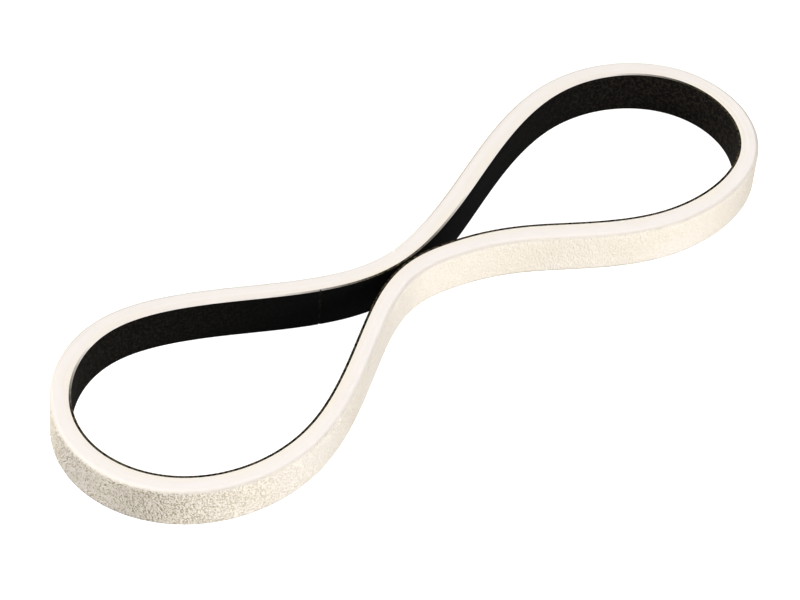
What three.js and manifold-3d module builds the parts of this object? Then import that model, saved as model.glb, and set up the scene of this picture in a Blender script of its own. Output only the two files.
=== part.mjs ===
// An endless flat-sided drive belt, standing on one side edge and pinched in at the waist.
// Millimetres, +Z up, +X along the long way. The origin is at the middle of the footprint.
// The belt is a stack of layers, all following one closed path, with the black driving ply inside.
import * as THREE from "three";
import { mergeVertices } from "three/addons/utils/BufferGeometryUtils.js";
import Module from "manifold-3d";

const wasm = await Module();
wasm.setup();

// ---- driving sizes ----
const BELT_WIDTH = 19; // side edge to side edge, and so the height as it stands
const OUTER_CORNER = 1.6; // radius of the two corners of the outer face
const STATIONS = 108; // steps round the loop, shared by every layer
const BOND_GAP = 0.05; // between two layers that are bonded together
const PLY_INSET = 0.15; // how far the thin layers stop short of the side edges
const SPLICE_GAP = 0.3; // between the two cut ends of a spliced layer
const SPLICE_SLANT = THREE.MathUtils.degToRad(35); // of a skived cut from square
const CORNER_STEPS = 3; // facets round an outer corner

// Layer thicknesses, from the inner face outwards.
const DRIVE_PLY = 0.9;
const BASE_RUBBER = 1.9;
const CORD_FLOOR = 0.45;
const CORD_CHANNEL = 1.6;
const CORD_LID = 0.45;
const TIE_PLY = 0.5;
const OUTER_COVER = 1.85;

// The tensile cords: two, side by side, each wound round the loop as a screw thread.
const CORD_RADIUS = 0.7;
const CORD_TURNS = 3;
const CORD_SIDES = 6;
const CHANNEL_LIP = 0.8; // rubber left at each side edge, closing the cord channel
const CORD_SIDE_GAP = 0.1; // from the outermost cord to the lip

// Corners of the guide polygon of the inner face, anticlockwise from the left end.
const GUIDE = [
  [-161.5, 13.5],
  [-144.5, -36],
  [-83, -50],
  [-19.5, 7.5],
  [14.5, 5],
  [46, -4.5],
  [92, -38],
  [150, -29],
  [154.5, 23.5],
  [103, 52],
  [37.5, 18],
  [-9, -0.5],
  [-50.5, 13.5],
  [-118, 53],
];

// Where the two spliced layers have their cut ends, as shares of the way round.
const DRIVE_PLY_SPLICE = 0.822;
const COVER_SPLICE = 0.771;

// ---- the path ----

// A smooth closed curve drawn by a guide polygon: a uniform cubic B-spline.
class BeltPath extends THREE.Curve {
  constructor(corners) {
    super();
    this.corners = corners.map(([x, y]) => new THREE.Vector2(x, y));
    this.arcLengthDivisions = 2000;
  }

  getPoint(t, target = new THREE.Vector3()) {
    const count = this.corners.length;
    const place = THREE.MathUtils.euclideanModulo(t, 1) * count;
    const span = Math.floor(place);
    const f = place - span;
    const weights = [
      (1 - f) ** 3 / 6,
      (3 * f ** 3 - 6 * f ** 2 + 4) / 6,
      (-3 * f ** 3 + 3 * f ** 2 + 3 * f + 1) / 6,
      f ** 3 / 6,
    ];
    target.set(0, 0, 0);
    weights.forEach((weight, i) => {
      const corner = this.corners[(span + i - 1 + count) % count];
      target.x += weight * corner.x;
      target.y += weight * corner.y;
    });
    return target;
  }

  // The point at a share of the length, moved out of the loop by a distance.
  outside(share, distance) {
    const u = THREE.MathUtils.euclideanModulo(share, 1);
    const along = this.getTangentAt(u);
    return this.getPointAt(u).add(
      new THREE.Vector3(along.y, -along.x, 0).multiplyScalar(distance),
    );
  }

  // The closed outline at a distance outside the inner face.
  outline(distance) {
    return Array.from({ length: STATIONS }, (_, i) => {
      const p = this.outside(i / STATIONS, distance);
      return new THREE.Vector2(p.x, p.y);
    });
  }
}

// One cord: it goes round and round the loop while it climbs from one side edge to the other.
class CordPath extends THREE.Curve {
  constructor(belt, depth, startHeight, lead) {
    super();
    Object.assign(this, { belt, depth, startHeight, lead });
    this.arcLengthDivisions = STATIONS * CORD_TURNS * 4;
  }

  getPoint(t, target = new THREE.Vector3()) {
    const turns = t * CORD_TURNS;
    const height = this.startHeight + this.lead * turns;
    return target.copy(this.belt.outside(turns, this.depth)).setZ(height);
  }
}

// ---- solids ----

function solidOf(geometry) {
  const bare = geometry.clone();
  bare.deleteAttribute("normal");
  bare.deleteAttribute("uv");
  const merged = mergeVertices(bare, 1e-4);
  return new wasm.Manifold(
    new wasm.Mesh({
      numProp: 3,
      vertProperties: merged.attributes.position.array,
      triVerts: new Uint32Array(merged.index.array),
    }),
  );
}

function geometryOf(solid) {
  const mesh = solid.getMesh();
  const geometry = new THREE.BufferGeometry();
  geometry.setAttribute("position", new THREE.BufferAttribute(mesh.vertProperties, 3));
  geometry.setIndex(new THREE.BufferAttribute(mesh.triVerts, 1));
  geometry.computeVertexNormals();
  return geometry;
}

// A band that follows the path, from one depth to another and from one height to another.
function band(path, innerDepth, outerDepth, low = 0, high = BELT_WIDTH) {
  const shape = new THREE.Shape(path.outline(outerDepth));
  shape.holes.push(new THREE.Path(path.outline(innerDepth)));
  const geometry = new THREE.ExtrudeGeometry(shape, {
    depth: high - low,
    bevelEnabled: false,
  });
  return solidOf(geometry.translate(0, 0, low));
}

// Everything inside an outline, with the top and bottom rims rounded.
function roundedFill(path, depth, radius) {
  const geometry = new THREE.ExtrudeGeometry(new THREE.Shape(path.outline(depth)), {
    depth: BELT_WIDTH - 2 * radius,
    bevelThickness: radius,
    bevelSize: radius,
    bevelOffset: -radius,
    bevelSegments: CORNER_STEPS,
  });
  return solidOf(geometry.translate(0, 0, radius));
}

function fill(path, depth) {
  const margin = 1; // past both side edges, so that the cut goes right through
  const geometry = new THREE.ExtrudeGeometry(new THREE.Shape(path.outline(depth)), {
    depth: BELT_WIDTH + 2 * margin,
    bevelEnabled: false,
  });
  return solidOf(geometry.translate(0, 0, -margin));
}

// A thin slanting slab that cuts a layer across, leaving its two skived ends.
function spliceCut(path, share, innerDepth, outerDepth) {
  const centre = path.outside(share, (innerDepth + outerDepth) / 2);
  const along = path.getTangentAt(share);
  const reach = (2 * (outerDepth - innerDepth)) / Math.cos(SPLICE_SLANT);
  const slab = new THREE.BoxGeometry(SPLICE_GAP, reach, 2 * BELT_WIDTH);
  slab.rotateZ(Math.atan2(along.y, along.x) + SPLICE_SLANT);
  slab.translate(centre.x, centre.y, BELT_WIDTH / 2);
  return solidOf(slab);
}

// ---- the layers ----

function thinPly(path, from, thickness) {
  return band(path, from, from + thickness, PLY_INSET, BELT_WIDTH - PLY_INSET);
}

function drivePly(path, from) {
  const to = from + DRIVE_PLY;
  return thinPly(path, from, DRIVE_PLY).subtract(spliceCut(path, DRIVE_PLY_SPLICE, from, to));
}

function baseRubber(path, from) {
  return band(path, from, from + BASE_RUBBER);
}

// A floor with a lip at each side edge, which keeps the cords inside the belt.
function cordBed(path, from) {
  const floor = from + CORD_FLOOR;
  const top = floor + CORD_CHANNEL;
  const channel = band(path, floor, top + 1, CHANNEL_LIP, BELT_WIDTH - CHANNEL_LIP);
  const whole = band(path, from, top, PLY_INSET, BELT_WIDTH - PLY_INSET);
  return whole.subtract(channel);
}

function cord(path, depth, index) {
  const lowest = CHANNEL_LIP + CORD_SIDE_GAP + CORD_RADIUS;
  const lead = (BELT_WIDTH - 2 * lowest) / (CORD_TURNS + 0.5);
  const section = new THREE.Shape();
  section.absarc(0, 0, CORD_RADIUS, 0, 2 * Math.PI);
  const outline = section.getSpacedPoints(CORD_SIDES).slice(0, CORD_SIDES);
  const geometry = new THREE.ExtrudeGeometry(new THREE.Shape(outline), {
    steps: STATIONS * CORD_TURNS,
    extrudePath: new CordPath(path, depth, lowest + (index * lead) / 2, lead),
  });
  return solidOf(geometry);
}

function outerCover(path, from) {
  const to = from + OUTER_COVER;
  return roundedFill(path, to, OUTER_CORNER)
    .subtract(fill(path, from))
    .subtract(spliceCut(path, COVER_SPLICE, from, to));
}

// ---- materials ----

function finish(color, roughness) {
  return new THREE.MeshStandardMaterial({ color, roughness, metalness: 0 });
}

const CREAM_RUBBER = finish(0xf3e6da, 0.75);
const GROUND_RUBBER = finish(0xe6dccb, 0.95);
const CUSHION_RUBBER = finish(0xe9dccb, 0.8);
const BLACK_FABRIC = finish(0x14120f, 0.9);
const TIE_FABRIC = finish(0xd8cfbd, 0.9);
const CORD_YARN = finish(0xe3d6b4, 0.85);

// ---- assembly ----

// The path moved so that the outer face's extents are centred on the origin.
function centredPath(thickness) {
  const box = new THREE.Box2().setFromPoints(new BeltPath(GUIDE).outline(thickness));
  const middle = box.getCenter(new THREE.Vector2());
  return new BeltPath(GUIDE.map(([x, y]) => [x - middle.x, y - middle.y]));
}

function named(name, solid, material) {
  const mesh = new THREE.Mesh(geometryOf(solid), material);
  mesh.name = name;
  return mesh;
}

function buildBelt() {
  const baseFrom = DRIVE_PLY + BOND_GAP;
  const bedFrom = baseFrom + BASE_RUBBER + BOND_GAP;
  const channelFrom = bedFrom + CORD_FLOOR;
  const lidFrom = channelFrom + CORD_CHANNEL + BOND_GAP;
  const tieFrom = lidFrom + CORD_LID + BOND_GAP;
  const coverFrom = tieFrom + TIE_PLY + BOND_GAP;
  const path = centredPath(coverFrom + OUTER_COVER);
  const cordDepth = channelFrom + CORD_CHANNEL / 2;

  const belt = new THREE.Group();
  belt.name = "v_belt";
  belt.add(
    named("drive_ply", drivePly(path, 0), BLACK_FABRIC),
    named("base_rubber", baseRubber(path, baseFrom), CREAM_RUBBER),
    named("cord_bed", cordBed(path, bedFrom), CUSHION_RUBBER),
    named("tensile_cord_first", cord(path, cordDepth, 0), CORD_YARN),
    named("tensile_cord_second", cord(path, cordDepth, 1), CORD_YARN),
    named("cord_lid", thinPly(path, lidFrom, CORD_LID), CUSHION_RUBBER),
    named("tie_ply", thinPly(path, tieFrom, TIE_PLY), TIE_FABRIC),
    named("outer_cover", outerCover(path, coverFrom), GROUND_RUBBER),
  );
  return belt;
}

export default buildBelt();
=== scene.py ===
"""The looks of a cream rubber drive belt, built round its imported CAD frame.

Every layer of the belt is swept again, finely, along the path of the frame's own base rubber, at the depth
of the CAD node that it stands for and over the whole height of the belt. The cords keep their CAD meshes.
Metres, +Z up, in the row's frame.
"""

import math

import bmesh
import bpy
import numpy as np
from mathutils import Matrix, Vector


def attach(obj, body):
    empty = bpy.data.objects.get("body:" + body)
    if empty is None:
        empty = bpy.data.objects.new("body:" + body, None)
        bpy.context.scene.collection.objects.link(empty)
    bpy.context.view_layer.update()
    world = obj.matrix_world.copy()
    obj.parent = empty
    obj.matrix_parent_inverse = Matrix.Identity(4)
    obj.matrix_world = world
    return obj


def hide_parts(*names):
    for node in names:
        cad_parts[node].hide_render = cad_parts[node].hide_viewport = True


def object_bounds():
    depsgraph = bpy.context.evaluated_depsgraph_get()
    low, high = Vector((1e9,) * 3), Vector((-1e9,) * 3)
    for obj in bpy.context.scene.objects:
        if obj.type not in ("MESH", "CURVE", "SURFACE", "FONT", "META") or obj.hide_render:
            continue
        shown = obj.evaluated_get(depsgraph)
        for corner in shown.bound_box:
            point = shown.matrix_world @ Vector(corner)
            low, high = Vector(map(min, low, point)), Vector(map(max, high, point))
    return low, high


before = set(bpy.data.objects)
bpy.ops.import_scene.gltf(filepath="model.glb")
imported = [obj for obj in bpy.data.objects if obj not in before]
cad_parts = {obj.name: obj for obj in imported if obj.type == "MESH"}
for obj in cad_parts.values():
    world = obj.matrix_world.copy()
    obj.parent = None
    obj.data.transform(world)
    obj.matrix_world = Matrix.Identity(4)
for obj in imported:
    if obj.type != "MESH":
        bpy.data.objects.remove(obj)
CAD_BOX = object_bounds()

MM = 0.001
BOTTOM = CAD_BOX[0][2]
TOP = CAD_BOX[1][2]
LEFT_END = CAD_BOX[0][0]
RIGHT_END = CAD_BOX[1][0]

# Meshes.
PATH_NODE = "base_rubber"  # the node whose inner outline gives the path
LAYERS = ("drive_ply", "base_rubber", "cord_bed", "cord_lid", "tie_ply", "outer_cover")  # from inside out
CORDS = ("tensile_cord_first", "tensile_cord_second")
FINE_STATIONS = 1440  # steps round the loop
CORNER_STEPS = 6  # facets round a corner of a layer's section
CRISP = 0.03 * MM  # radius of a corner where two layers meet
SOFT = 0.12 * MM  # radius of the driving face's corners
END_REACH = 24  # stations over which a layer's sloping end fades out
RIM_ANGLE = math.radians(60)  # an upper edge that is sharper than this is a rim
SMOOTH_ANGLE = math.radians(40)  # a swept edge that is blunter than this is shaded smooth
SAME_PLACE = 1e-7  # vertices closer than this are one
LEVEL = 1e-6  # a vertex this close to the top belongs to the upper face
END_FACING = 0.6  # how squarely a face must look along the belt to be a cut end

# Wear, grain and painted shade.
GRAIN_START = 0.5 * MM  # how far in from the belt's cut edges the ground grain begins
RAGGED = 0.3 * MM  # how far that border wanders
CORNER_SHADE_TO = 1.6 * MM  # how far in from the cut edges the painted shade on the corners reaches
THREAD = 0.8 * MM  # pitch of the driving fabric's weave


# ---- the path, and what the frame says about each layer ----


def rim_loops(mesh):
    """The closed outlines of a band's upper face, each as an array of points in order."""
    bm = bmesh.new()
    bm.from_mesh(mesh)
    bmesh.ops.remove_doubles(bm, verts=bm.verts, dist=SAME_PLACE)
    top = max(v.co.z for v in bm.verts)
    near = {}
    for edge in bm.edges:
        a, b = edge.verts
        on_top = top - a.co.z < LEVEL and top - b.co.z < LEVEL
        if on_top and edge.calc_face_angle() > RIM_ANGLE:
            near.setdefault(a.index, []).append(b.index)
            near.setdefault(b.index, []).append(a.index)
    bm.verts.ensure_lookup_table()
    points = {i: bm.verts[i].co.to_2d() for i in near}
    bm.free()
    loops = []
    while near:
        start = min(near)
        order = [start]
        step = near.pop(start)[0]
        while step != start:
            before = order[-1]
            order.append(step)
            a, b = near.pop(step)
            step = b if a == before else a
        loops.append(np.array([points[i] for i in order]))
    return loops


def area_of(outline):
    """The area inside a closed outline, negative where it runs clockwise."""
    x, y = outline.T
    return 0.5 * float(np.sum(x * np.roll(y, -1) - np.roll(x, -1) * y))


class BeltPath:
    """A smooth closed path through the corners of an outline: its Fourier series, sampled finely."""

    def __init__(self, corners, count):
        """Points, directions along the path and directions out of it, at count stations, anticlockwise."""
        if area_of(corners) < 0:
            corners = corners[::-1]
        series = np.fft.rfft(corners, axis=0)
        turns = 2j * math.pi * np.arange(len(series))[:, None]
        scale = count / len(corners)
        self.points = np.fft.irfft(series, count, axis=0) * scale
        slopes = np.fft.irfft(series * turns, count, axis=0) * scale
        self.along = slopes / np.linalg.norm(slopes, axis=1)[:, None]
        self.out = np.stack([self.along[:, 1], -self.along[:, 0]], 1)
        steps = np.linalg.norm(np.roll(self.points, -1, 0) - self.points, axis=1)
        self.length = float(steps.sum())
        self.count = count

    def nearest(self, points):
        """For each point, the index of the nearest station."""
        gaps = points[:, None, :2] - self.points[None]
        return np.argmin(np.einsum("ijk,ijk->ij", gaps, gaps), axis=1)

    def depths(self, points):
        """How far each point lies outside the path."""
        at = self.nearest(points)
        return np.einsum("ij,ij->i", points[:, :2] - self.points[at], self.out[at])


def corners_of(node):
    """A CAD node's vertices, as an array of points."""
    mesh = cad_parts[node].data
    flat = np.empty(len(mesh.vertices) * 3)
    mesh.vertices.foreach_get("co", flat)
    return flat.reshape(-1, 3)


def layer_of(path, node):
    """(inner depth, outer depth) of a CAD layer."""
    depths = path.depths(corners_of(node))
    return float(depths.min()), float(depths.max())


def splice_of(path, node):
    """The station where a CAD layer's two cut ends meet."""
    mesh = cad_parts[node].data
    centres = np.array([f.center for f in mesh.polygons])
    normals = np.array([f.normal for f in mesh.polygons])
    at = path.nearest(centres)
    facing = np.abs(np.einsum("ij,ij->i", normals[:, :2], path.along[at]))
    ends = at[facing > END_FACING]
    turn = np.exp(2j * math.pi * ends / path.count).mean()
    return int(round(np.angle(turn) / (2 * math.pi) * path.count)) % path.count


def waist_line(path):
    """The Y half way between the two strands where they come closest, at the waist."""
    middle = np.abs(path.points[:, 0]) < RIGHT_END / 3
    front = path.points[middle & (path.out[:, 1] < 0), 1].max()
    back = path.points[middle & (path.out[:, 1] > 0), 1].min()
    return float(front + back) / 2


# ---- swept layers ----


def arc(centre, radius, start):
    """Points on a quarter circle from this angle, both ends included, as (depth, height)."""
    turns = np.radians(np.linspace(start, start + 90, CORNER_STEPS + 1))
    return [(centre[0] + radius * math.cos(t), centre[1] + radius * math.sin(t)) for t in turns]


def section_of(inner, outer, inner_radius, outer_radius, face_steps=1):
    """A layer's section as (depth, height) points: a rectangle as high as the belt, with rounded corners.

    It runs up the outer face, back along the upper edge, down the inner face and out along the lower edge.
    """
    ri, ro = inner_radius, outer_radius
    outer_low = arc((outer - ro, BOTTOM + ro), ro, -90)
    outer_high = arc((outer - ro, TOP - ro), ro, 0)
    inner_high = arc((inner + ri, TOP - ri), ri, 90)
    inner_low = arc((inner + ri, BOTTOM + ri), ri, 180)

    def between(low, high):
        return [(low[0], low[1] + (high[1] - low[1]) * k / face_steps) for k in range(1, face_steps)]

    outer_face = between(outer_low[-1], outer_high[0])
    inner_face = between(inner_high[-1], inner_low[0])
    return np.array(outer_low + outer_face + outer_high + inner_high + inner_face + inner_low)


def sweep(name, path, section, material, cut_at=None, lean=0.0):
    """A layer with this section all the way round the path.

    With cut_at, a station, the layer is open there: its two ends slope by lean and lie end to end.
    """
    order = np.arange(path.count)
    if cut_at is not None:
        order = np.roll(order, -cut_at)
    depth, height = section.T
    base = path.points[order][:, None, :] + path.out[order][:, None, :] * depth[None, :, None]
    if cut_at is not None:
        base = base + slanted_ends(path, order, depth, lean)
    rows, width = base.shape[:2]
    co = np.concatenate([base, np.broadcast_to(height[None, :, None], (rows, width, 1))], axis=2)
    spans = rows if cut_at is None else rows - 1
    i, j = np.meshgrid(np.arange(spans), np.arange(width), indexing="ij")
    ahead, beside = (i + 1) % rows, (j + 1) % width
    quads = np.stack([i * width + j, ahead * width + j, ahead * width + beside, i * width + beside], -1)
    faces = quads.reshape(-1, 4).tolist()
    if cut_at is not None:
        faces.append(list(range(width)))
        faces.append([(rows - 1) * width + k for k in reversed(range(width))])
    mesh = bpy.data.meshes.new(name)
    mesh.from_pydata(co.reshape(-1, 3).tolist(), [], faces)
    mesh.materials.append(material)
    lay_out(mesh, path, section, order, spans)
    face_outward(mesh)
    mesh.shade_smooth()
    mesh.set_sharp_from_angle(angle=SMOOTH_ANGLE)
    piece = bpy.data.objects.new(name, mesh)
    bpy.context.scene.collection.objects.link(piece)
    return piece


def slanted_ends(path, order, depth, lean):
    """Shifts along the path that slope both ends of an open layer, fading out over a few stations."""
    slope = (depth - depth.mean())[None, :] * lean
    place = np.arange(len(order))
    fade = np.clip(1 - np.minimum(place, len(order) - 1 - place) / END_REACH, 0, 1)[:, None]
    return path.along[order][:, None, :] * (slope * fade)[:, :, None]


def lay_out(mesh, path, section, order, spans):
    """UVs in metres: how far along the belt, and how far round the section."""
    sides = np.linalg.norm(np.roll(section, -1, 0) - section, axis=1)
    around = np.concatenate([[0.0], np.cumsum(sides)])
    step = path.length / len(order)
    width = len(section)
    i, j = np.meshgrid(np.arange(spans), np.arange(width), indexing="ij")
    u = np.stack([i, i + 1, i + 1, i], -1) * step
    v = np.stack([around[j], around[j], around[j + 1], around[j + 1]], -1)
    flat = np.stack([u, v], -1).reshape(-1)
    layer = mesh.uv_layers.new(name="along_belt")
    values = np.zeros(len(mesh.loops) * 2)
    values[: len(flat)] = flat
    layer.data.foreach_set("uv", values)


def face_outward(mesh):
    """Turns every face of a closed mesh to look out."""
    bm = bmesh.new()
    bm.from_mesh(mesh)
    bmesh.ops.recalc_face_normals(bm, faces=bm.faces)
    bm.to_mesh(mesh)
    bm.free()


# ---- materials ----


class Finish:
    """A procedural material under construction: a few short calls for its nodes."""

    def __init__(self, name, roughness, specular):
        self.material = bpy.data.materials.new(name)
        self.material.use_nodes = True
        self.tree = self.material.node_tree
        self.shader = self.tree.nodes["Principled BSDF"]
        self.shader.inputs["Roughness"].default_value = roughness
        self.shader.inputs["Specular IOR Level"].default_value = specular
        self.places = self.tree.nodes.new("ShaderNodeTexCoord")
        self.bumps = None

    def put(self, kind, **inputs):
        """A new shader node of this kind, with its inputs set or linked."""
        node = self.tree.nodes.new("ShaderNode" + kind)
        for name, value in inputs.items():
            self.feed(node.inputs[name.replace("_", " ")], value)
        return node

    def feed(self, socket, value):
        """Links an output to the socket, or sets the socket to a constant."""
        if isinstance(value, bpy.types.NodeSocket):
            self.tree.links.new(value, socket)
        else:
            socket.default_value = value

    def noise(self, grain, detail=3.0, roughness=0.55):
        """Cloudy noise with lumps about this big, in metres."""
        node = self.put("TexNoise", Scale=1 / grain, Detail=detail, Roughness=roughness)
        self.feed(node.inputs["Vector"], self.places.outputs["Object"])
        return node.outputs["Fac"]

    def spread(self, value, low, high, out_low=0.0, out_high=1.0):
        """The value's place between low and high, clamped, as a number from out_low to out_high."""
        node = self.put("MapRange", Value=value, From_Min=low, From_Max=high)
        self.feed(node.inputs["To Min"], out_low)
        self.feed(node.inputs["To Max"], out_high)
        return node.outputs["Result"]

    def blend(self, share, first, second):
        """A mix of two colours."""
        node = self.tree.nodes.new("ShaderNodeMix")
        node.data_type = "RGBA"
        colours = [s for s in node.inputs if s.type == "RGBA"]
        self.feed(node.inputs["Factor"], share)
        self.feed(colours[0], first)
        self.feed(colours[1], second)
        return [s for s in node.outputs if s.type == "RGBA"][0]

    def combine(self, operation, first, second=0.0):
        """The result of a Math node on one or two values."""
        node = self.tree.nodes.new("ShaderNodeMath")
        node.operation = operation
        self.feed(node.inputs[0], first)
        self.feed(node.inputs[1], second)
        return node.outputs["Value"]

    def distance(self, first, second):
        """How far apart two values are."""
        return self.combine("ABSOLUTE", self.combine("SUBTRACT", first, second))

    def bump(self, height, depth, strength=1.0):
        """Adds relief of this depth, in metres, on top of any that is there."""
        node = self.put("Bump", Height=height, Strength=strength, Distance=depth)
        if self.bumps:
            self.feed(node.inputs["Normal"], self.bumps)
        self.bumps = node.outputs["Normal"]

    def done(self, colour, roughness=None):
        """The finished material."""
        self.feed(self.shader.inputs["Base Color"], colour)
        if roughness:
            self.feed(self.shader.inputs["Roughness"], roughness)
        if self.bumps:
            self.feed(self.shader.inputs["Normal"], self.bumps)
        return self.material


def srgb(red, green, blue):
    """A linear colour from the usual 0 to 255 screen values."""
    shares = [v / 255 for v in (red, green, blue)]
    linear = [v / 12.92 if v <= 0.04045 else ((v + 0.055) / 1.055) ** 2.4 for v in shares]
    return (*linear, 1.0)


def cut_rubber(name, first, second):
    """Smooth rubber where the belt was cut to width: two close tones, a few flecks, fine cutting marks."""
    f = Finish(name, roughness=0.6, specular=0.2)
    tone = f.blend(f.spread(f.noise(20 * MM, 2), 0.35, 0.65), first, second)
    fleck = f.spread(f.noise(1.2 * MM, 4, 0.7), 0.6, 0.74)
    colour = f.blend(f.combine("MULTIPLY", fleck, 0.3), tone, srgb(203, 192, 170))
    f.bump(f.noise(1.6 * MM, 4), 0.08 * MM, 0.35)
    f.bump(f.noise(0.4 * MM, 2), 0.03 * MM, 0.3)
    return f.done(colour, f.spread(f.noise(4 * MM), 0.3, 0.7, 0.52, 0.7))


def place_on(f, axis):
    """A point's X, Y or Z."""
    return f.put("SeparateXYZ", Vector=f.places.outputs["Object"]).outputs[axis]


def depth_from_edge(f):
    """How far a point lies from the nearer cut edge of the belt, measured across its width."""
    from_middle = f.distance(place_on(f, "Z"), (TOP + BOTTOM) / 2)
    return f.combine("SUBTRACT", (TOP - BOTTOM) / 2, from_middle)


# Mask for the painted shade and painted light that differ between the strand behind and the one in front.
def behind(f, waist):
    """1 on the strand behind and 0 on the strand in front.

    It fades out at the waist and toward both end bends.
    """
    back = f.spread(place_on(f, "Y"), waist, waist + 15 * MM)
    off_middle = f.distance(place_on(f, "X"), 0.0)
    off_the_bends = f.spread(off_middle, RIGHT_END - 10 * MM, RIGHT_END - 34 * MM)
    return f.combine("MULTIPLY", back, off_the_bends)


def ground_rubber(cut_tone, waist):
    """The cover: short matt ground grain on its outer face, smooth where it was cut, with a ragged border.

    The rounded corners between the two are painted a little darker, painted shade, most of it on the strand
    behind and along the edge that the belt stands on. The left end has painted shade in the pits of its
    grain too.
    """
    f = Finish("ground_rubber", roughness=0.9, specular=0.15)
    grain = f.noise(0.8 * MM, 2, 0.55)
    pits = f.spread(grain, 0.36, 0.56)
    lumps = f.noise(1.9 * MM, 2, 0.5)
    from_edge = depth_from_edge(f)

    tone = f.blend(f.spread(f.noise(30 * MM, 2), 0.35, 0.65), srgb(218, 212, 204), srgb(215, 208, 197))
    # Painted shade: the grain's pits are painted darker, fully at the left end where the light grazes the
    # face, faintly elsewhere.
    speck = f.spread(grain, 0.51, 0.35)
    left_pit_shade = f.spread(place_on(f, "X"), LEFT_END + 20 * MM, LEFT_END + 80 * MM, 1.0, 0.12)
    grain_with_pit_shade = f.blend(f.combine("MULTIPLY", speck, left_pit_shade), tone, srgb(176, 165, 144))

    # Painted shade: the corner tone is a little darker in front and much darker on the strand behind,
    # turned from the light.
    upper = f.blend(behind(f, waist), srgb(202, 196, 188), srgb(158, 150, 136))
    # Painted shade: the corners are darker still along the lower edge, standing in for the contact shadow
    # on the floor.
    off_the_floor = f.spread(place_on(f, "Z"), BOTTOM + 0.9 * MM, BOTTOM + 1.8 * MM)
    corner = f.blend(off_the_floor, srgb(150, 141, 126), upper)
    # Painted shade: from the cut edge inward, the corners blend from the cut tone into the shaded corner
    # tone.
    corner_shade_band = f.blend(f.spread(from_edge, 0.0, 0.3 * MM), cut_tone, corner)
    colour = f.blend(f.spread(from_edge, 0.6 * MM, CORNER_SHADE_TO), corner_shade_band, grain_with_pit_shade)

    ragged = f.combine("ADD", from_edge, f.spread(grain, 0.3, 0.7, -RAGGED, RAGGED))
    ground = f.spread(ragged, GRAIN_START, GRAIN_START + 0.3 * MM)
    smoother_right = f.spread(place_on(f, "X"), LEFT_END + 100 * MM, 0.0, 1.0, 0.65)
    rough_share = f.combine("MULTIPLY", ground, smoother_right)
    for relief, depth in ((lumps, 0.4 * MM), (pits, 0.24 * MM)):
        level = f.combine("MULTIPLY", f.combine("SUBTRACT", relief, 0.5), rough_share)
        f.bump(level, depth)
    f.bump(f.noise(0.5 * MM, 2), 0.06 * MM, 0.5)
    return f.done(colour)


def drive_fabric(edge_light_tone, waist):
    """Black rubbered fabric on the driving face: a fine bias weave with worn brown threads, painted a
    deeper black toward the middle as painted shade at the waist, so the brown shows toward the end bends.

    Its cut edge shows brown thread ends in front; on the strand behind it is painted in the cream tone,
    painted light.
    """
    f = Finish("drive_fabric", roughness=0.85, specular=0.06)
    turned = f.put("Mapping", Vector=f.places.outputs["UV"], Rotation=(0, 0, math.radians(45)))
    place = f.put("SeparateXYZ", Vector=turned.outputs["Vector"])
    warp, weft = (
        f.combine("SINE", f.combine("MULTIPLY", place.outputs[axis], 2 * math.pi / THREAD)) for axis in "XY"
    )
    weave = f.spread(f.combine("MULTIPLY", warp, weft), -1, 1)

    # Painted shade: 0 at the middle, 1 at the end bends; toward the middle the face is painted a deeper
    # black and its brown threads fade.
    near_end = f.spread(f.distance(place_on(f, "X"), 0.0), 0.3 * RIGHT_END, RIGHT_END)
    worn = f.combine("MULTIPLY", weave, f.spread(f.noise(1.1 * MM, 2), 0.42, 0.66))
    rubbed_and_waist_shade = f.combine("MULTIPLY", worn, f.spread(near_end, 0, 1, 0.1, 1.0))
    # Painted shade at the waist: deeper black toward the middle.
    black = f.blend(near_end, srgb(4, 5, 5), srgb(18, 17, 15))
    face = f.blend(rubbed_and_waist_shade, black, srgb(66, 59, 51))

    thread_ends = f.blend(f.spread(f.noise(1.2 * MM, 3), 0.4, 0.6), srgb(16, 15, 12), srgb(84, 75, 57))
    along = f.put("SeparateXYZ", Vector=f.places.outputs["UV"]).outputs["X"]
    patchy = f.spread(f.noise(3 * MM), 0.4, 0.65, 0.0, 0.2)
    splice = f.combine("MULTIPLY", f.spread(along, 0.7 * MM, 0.3 * MM), patchy)
    spliced = f.blend(splice, face, thread_ends)
    # Painted light: on the strand behind, the ply's cut edge is painted in the cream tone where the light
    # falls on it.
    lit_cut_edge = f.blend(behind(f, waist), thread_ends, edge_light_tone)
    colour = f.blend(f.spread(depth_from_edge(f), 0.02 * MM, 0.1 * MM), lit_cut_edge, spliced)
    f.bump(weave, 0.2 * MM, 0.6)
    f.bump(f.noise(0.9 * MM, 3), 0.15 * MM, 0.5)
    return f.done(colour)


def cord_yarn():
    """Twisted yarn: slanting strands round each cord."""
    f = Finish("cord_yarn", roughness=0.8, specular=0.25)
    wave = f.put("TexWave", Vector=f.places.outputs["Object"], Scale=420.0, Distortion=1.5, Detail=2.0)
    wave.bands_direction = "DIAGONAL"
    strand = wave.outputs["Fac"]
    colour = f.blend(strand, srgb(196, 178, 140), srgb(229, 216, 184))
    f.bump(strand, 0.2 * MM, 0.6)
    return f.done(colour)


# ---- the belt ----


def layer_depths(path):
    """(inner, outer) of each layer of the stack, closed up so that neighbours meet."""
    found = [layer_of(path, node) for node in LAYERS]
    joins = [(a[1] + b[0]) / 2 for a, b in zip(found, found[1:])]
    faces = [found[0][0]] + joins + [found[-1][1]]
    return {node: (faces[i], faces[i + 1]) for i, node in enumerate(LAYERS)}


def cover_corner(path):
    """The radius of the cover's outer corners: how far its outermost face stops short of the edge."""
    points = corners_of("outer_cover")
    depths = path.depths(points)
    outermost = points[depths > depths.max() - 0.02 * MM]
    return float(outermost[:, 2].min() - BOTTOM)


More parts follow.
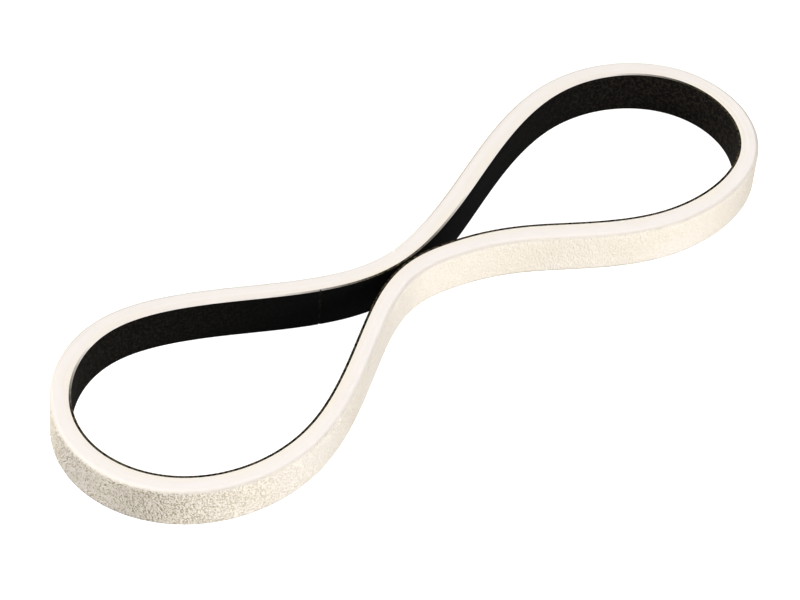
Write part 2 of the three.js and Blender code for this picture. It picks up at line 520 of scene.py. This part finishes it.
def build_belt():
    outlines = rim_loops(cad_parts[PATH_NODE].data)
    path = BeltPath(min(outlines, key=lambda o: abs(area_of(o))), FINE_STATIONS)
    waist = waist_line(path)
    depths = layer_depths(path)

    def ring(name, node, material, radii=(CRISP, CRISP), cut=False, lean=0.0, face_steps=1):
        section = section_of(*depths[node], *radii, face_steps)
        cut_at = splice_of(path, node) if cut else None
        piece = sweep(name, path, section, material, cut_at, lean)
        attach(piece, "root")
        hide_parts(node)

    pink, cream, warm = srgb(208, 203, 200), srgb(207, 202, 197), srgb(208, 202, 193)
    fabric = drive_fabric(cream, waist)
    ring("drive_face", "drive_ply", fabric, (SOFT, CRISP), cut=True, lean=0.7)
    ring("body", "base_rubber", cut_rubber("body_rubber", warm, cream))
    cushion = cut_rubber("cushion_rubber", cream, pink)
    ring("cord_bed_rubber", "cord_bed", cushion)
    ring("cord_lid_rubber", "cord_lid", cushion)
    ring("tie_fabric_ply", "tie_ply", cut_rubber("tie_fabric", pink, cream))
    ground = ground_rubber(pink, waist)
    ring("ground_cover", "outer_cover", ground, (CRISP, cover_corner(path)), True, -0.9, face_steps=12)


def finish_cords():
    """Yarn on the two cords, which keep their CAD meshes."""
    for node in CORDS:
        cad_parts[node].data.materials[0] = cord_yarn()


# ---- stage ----


def make_floor():
    """A plain pale floor just under the belt."""
    mesh = bpy.data.meshes.new("floor")
    half = 4.0  # metres from the middle to each side
    corners = [(-half, -half), (half, -half), (half, half), (-half, half)]
    mesh.from_pydata([(x, y, BOTTOM - 0.05 * MM) for x, y in corners], [], [(0, 1, 2, 3)])
    floor = bpy.data.objects.new("floor", mesh)
    floor.visible_diffuse = False  # it throws no light back on the belt
    bpy.context.scene.collection.objects.link(floor)
    f = Finish("pale_floor", roughness=0.9, specular=0.1)
    mesh.materials.append(f.done(f.blend(f.noise(0.3), srgb(252, 252, 252), srgb(250, 250, 250))))


def make_light(name, level, direction, distance, size, shaded):
    """A round softbox, as bright as level on white card that faces it.

    Only the shaded share of its light casts shadows; the rest stands for the fill of a white studio.
    """
    for part, share, shadows in (("fill", 1 - shaded, False), ("shade", shaded, True)):
        lamp = bpy.data.lights.new(name + "_" + part, "AREA")
        lamp.shape = "DISK"
        lamp.size = size
        lamp.energy = level * share * (math.pi * distance) ** 2
        lamp.use_shadow = shadows
        holder = bpy.data.objects.new(lamp.name, lamp)
        place = around(*direction, distance)
        holder.location = place
        holder.rotation_euler = (-place).to_track_quat("-Z", "Y").to_euler()
        bpy.context.scene.collection.objects.link(holder)


def make_world(strength):
    """Even white light from all round."""
    world = bpy.data.worlds.new("studio")
    world.use_nodes = True
    world.node_tree.nodes["Background"].inputs["Color"].default_value = (1, 1, 1, 1)
    world.node_tree.nodes["Background"].inputs["Strength"].default_value = strength
    bpy.context.scene.world = world


def around(azimuth, elevation, distance):
    """A point seen from the origin at this azimuth (0 is from the front, -Y) and elevation, in degrees."""
    a, e = math.radians(azimuth), math.radians(elevation)
    return Vector((math.sin(a) * math.cos(e), -math.cos(a) * math.cos(e), math.sin(e))) * distance


def make_camera():
    """A long lens from the front left and above, turned a little about its own axis."""
    azimuth, elevation, roll, distance = -41.9, 47.9, 5.3, 1.374
    aim = Vector((-0.0061, 0.0034, BOTTOM))
    lens = bpy.data.cameras.new("camera")
    lens.sensor_width = 36.0
    lens.lens = 161.5
    lens.clip_end = 20
    camera = bpy.data.objects.new("camera", lens)
    back = around(azimuth, elevation, 1.0)
    level = back.to_track_quat("Z", "Y").to_matrix()
    turned = level @ Matrix.Rotation(math.radians(roll), 3, "Z")
    camera.matrix_world = Matrix.Translation(aim + back * distance) @ turned.to_4x4()
    bpy.context.scene.collection.objects.link(camera)
    bpy.context.scene.camera = camera


def make_stage():
    make_camera()
    make_floor()
    make_world(0.1)
    make_light("key", level=1.47, direction=(-9, 15), distance=1.5, size=0.4, shaded=0.6)
    make_light("rim", level=1.75, direction=(-141, 24), distance=5.0, size=1.5, shaded=0.1)
    make_light("top", level=0.29, direction=(80, 78), distance=1.5, size=0.8, shaded=0.15)
    make_light("far_fill", level=0.45, direction=(108, 20), distance=4.0, size=1.5, shaded=0.15)
    bpy.context.scene.view_settings.view_transform = "Standard"
    bpy.context.scene.view_settings.gamma = 0.8


make_stage()
build_belt()
finish_cords()
